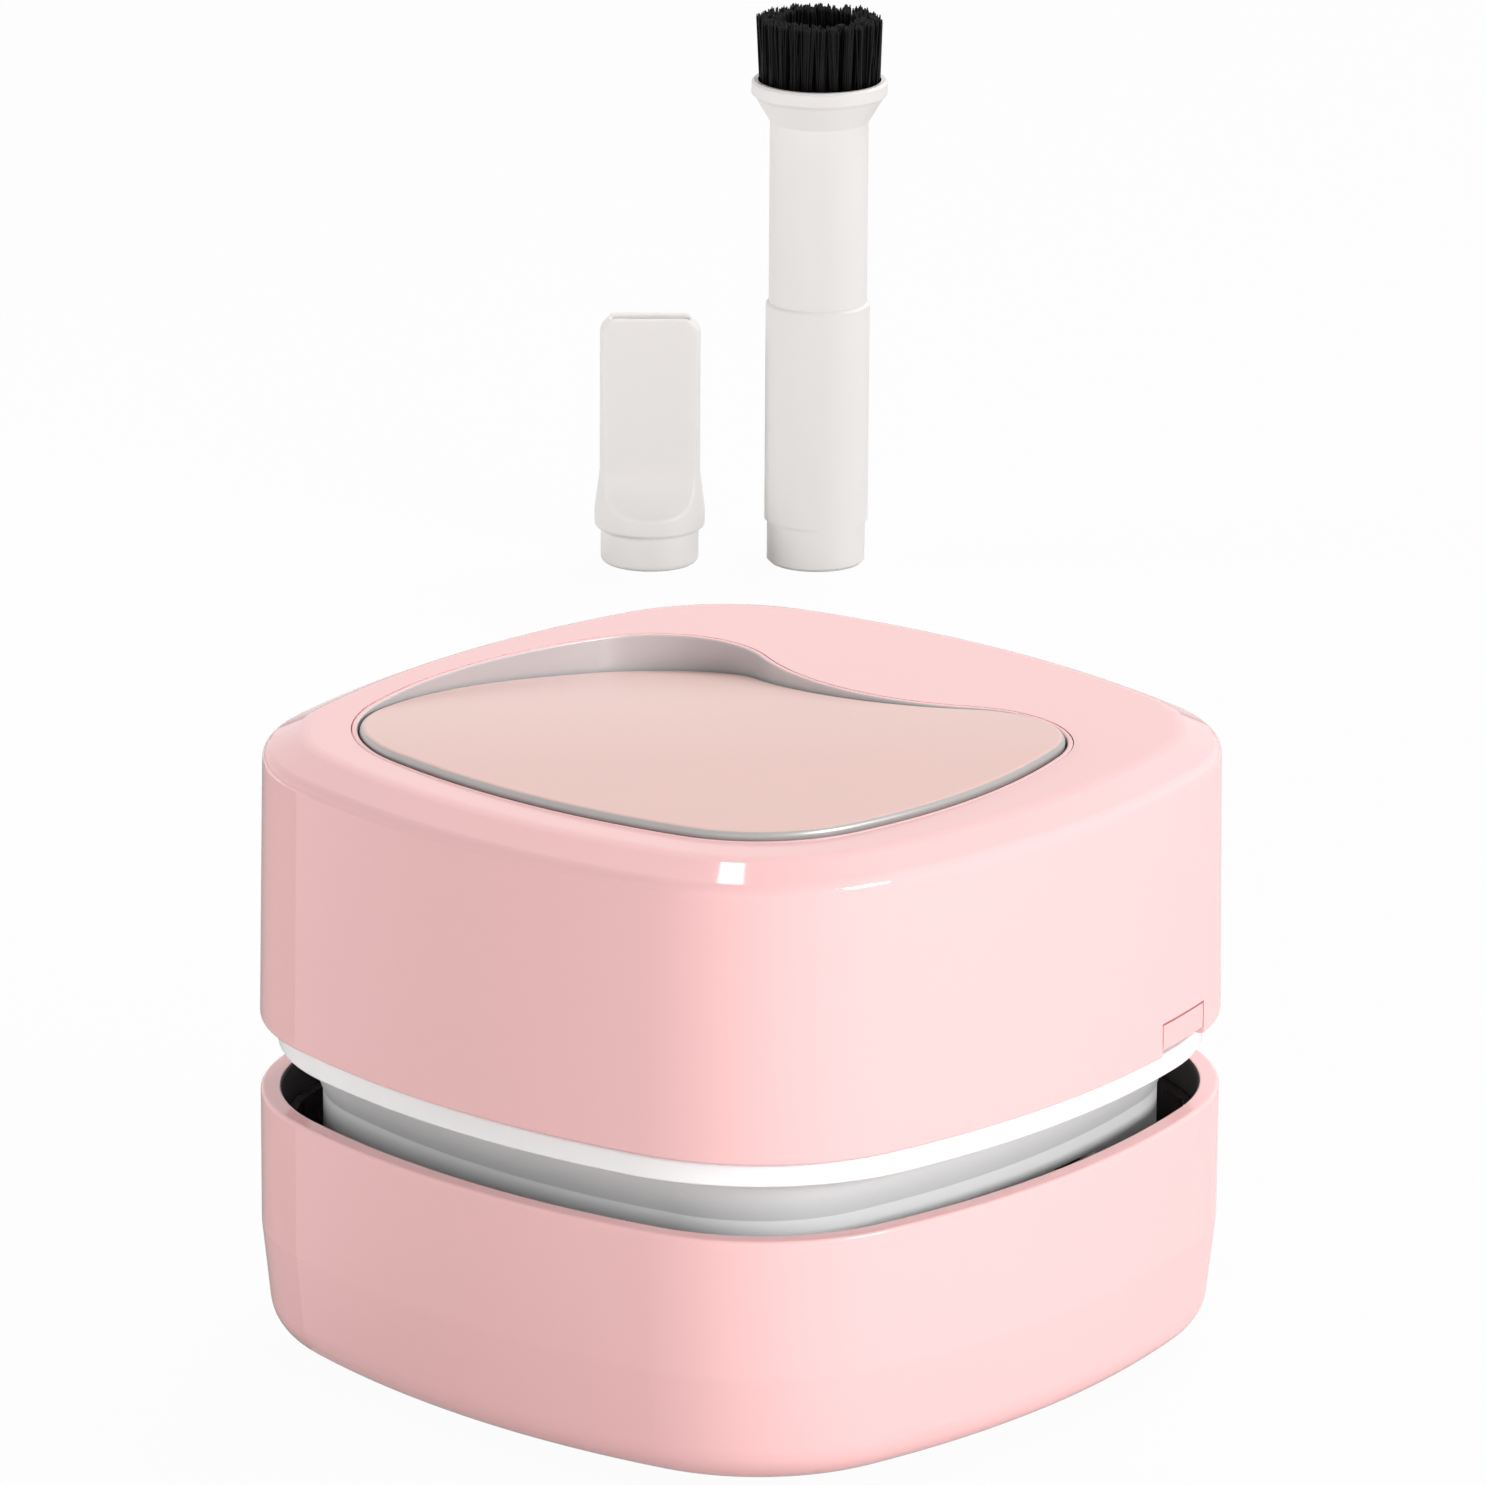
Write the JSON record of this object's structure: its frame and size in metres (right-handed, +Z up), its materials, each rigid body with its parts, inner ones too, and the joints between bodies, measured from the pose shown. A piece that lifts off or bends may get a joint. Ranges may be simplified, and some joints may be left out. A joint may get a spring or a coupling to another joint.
{
  "type": "desktop mini vacuum cleaner",
  "caption": "Palm-sized rounded-square desktop vacuum: lift-off head with a tilted press key, open-rimmed dust base, a flat nozzle and a push-in brush standing beside it.",
  "frame": {"origin": "on the table, under the middle of the body and the axis of its suction inlet", "axes": "+Z up; the body's sides are square to X and Y; the charging port faces -Y; the loose nozzles stand towards +X +Y"},
  "size_m": [0.2713, 0.246, 0.0717],
  "materials": {
    "pink_plastic": "glossy moulded",
    "pink_rubber": "satin moulded",
    "white_plastic": "glossy moulded",
    "silver_paint": "silver paint on plastic",
    "bezel_grey": "satin silver plating",
    "key_beige": "satin pearl paint",
    "bin_grey": "smoked",
    "inner_plastic": "moulded",
    "plunger_red": "moulded",
    "black_bristle": "fibre",
    "foot_rubber": "matte",
    "filter_cloth": "woven",
    "steel": "plated",
    "dark_iron": "sintered",
    "bronze": "sintered",
    "board_green": "solder mask",
    "cell_wrap": "shrink wrap over metal"
  },
  "bodies": {
    "base": {"lower_shell": "pink_plastic", "dust_bin": "bin_grey", "inlet_tube": "inner_plastic", "brush_ring_holder": "inner_plastic", "brush_ring_bristles": "black_bristle", "foot_front": "foot_rubber", "foot_right": "foot_rubber", "foot_back": "foot_rubber", "foot_left": "foot_rubber"},
    "head": {"neck": "silver_paint", "seal_ring": "foot_rubber", "filter_frame": "inner_plastic", "filter_mesh": "filter_cloth", "fan_plate": "inner_plastic", "chassis": "white_plastic", "top_shell": "pink_plastic", "chassis_screw_front": "steel", "chassis_screw_right": "steel", "chassis_screw_back": "steel", "chassis_screw_left": "steel", "motor_can": "steel", "motor_bearing": "bronze", "motor_cap": "inner_plastic", "motor_magnet": "dark_iron", "motor_holder": "inner_plastic", "motor_terminals": "bronze", "battery_tray": "inner_plastic", "battery_cell": "cell_wrap", "battery_contact_plus": "bronze", "battery_contact_minus": "bronze", "usb_socket": "steel", "circuit_board": "board_green", "charge_chip": "inner_plastic", "key_bezel": "bezel_grey", "push_switch": "inner_plastic", "key_spring": "steel"},
    "key": {"power_key": "key_beige"},
    "plunger": {"switch_plunger": "plunger_red"},
    "rotor": {"rotor_shaft": "steel", "rotor_core": "dark_iron", "impeller": "inner_plastic"},
    "cover": {"port_cover": "pink_rubber"},
    "flat_tool": {"flat_nozzle": "white_plastic"},
    "brush_handle": {"brush_sleeve": "white_plastic"},
    "brush_head": {"brush_tube": "white_plastic", "brush_collar": "white_plastic", "brush_bristles": "black_bristle"}
  },
  "joints": [
    {"name": "head_lift", "type": "slide", "parent": "base", "child": "head", "axis": [0, 0, 1], "range_m": [0, 0.06]},
    {"name": "key_press", "type": "slide", "parent": "head", "child": "key", "axis": [0, 0, -1], "range_m": [0, 0.001], "stiffness_N_per_m": 1200, "springref_m": -0.0005, "deforming": ["key_spring"]},
    {"name": "plunger_press", "type": "slide", "parent": "head", "child": "plunger", "axis": [0, 0, -1], "range_m": [0, 0.001]},
    {"name": "rotor_spin", "type": "hinge", "parent": "head", "child": "rotor", "pos_m": [0, 0, 0.04], "axis": [0, 0, 1], "continuous": true},
    {"name": "cover_hinge", "type": "hinge", "parent": "head", "child": "cover", "pos_m": [0.0201, -0.04046, 0.03805], "axis": [-0.9796, -0.201, 0], "range_deg": [0, 90], "stiffness_Nm_per_rad": 0.0002},
    {"name": "flat_nozzle_lift", "type": "slide", "parent": "base", "child": "flat_tool", "axis": [0, 0, 1], "range_m": [0, 0.06]},
    {"name": "brush_lift", "type": "slide", "parent": "base", "child": "brush_handle", "axis": [0, 0, 1], "range_m": [0, 0.09]},
    {"name": "brush_pull", "type": "slide", "parent": "brush_handle", "child": "brush_head", "axis": [0, 0, 1], "range_m": [0, 0.015]}
  ],
  "couplings": [
    {"joint": "plunger_press", "follows": "key_press", "ratio": 1}
  ]
}
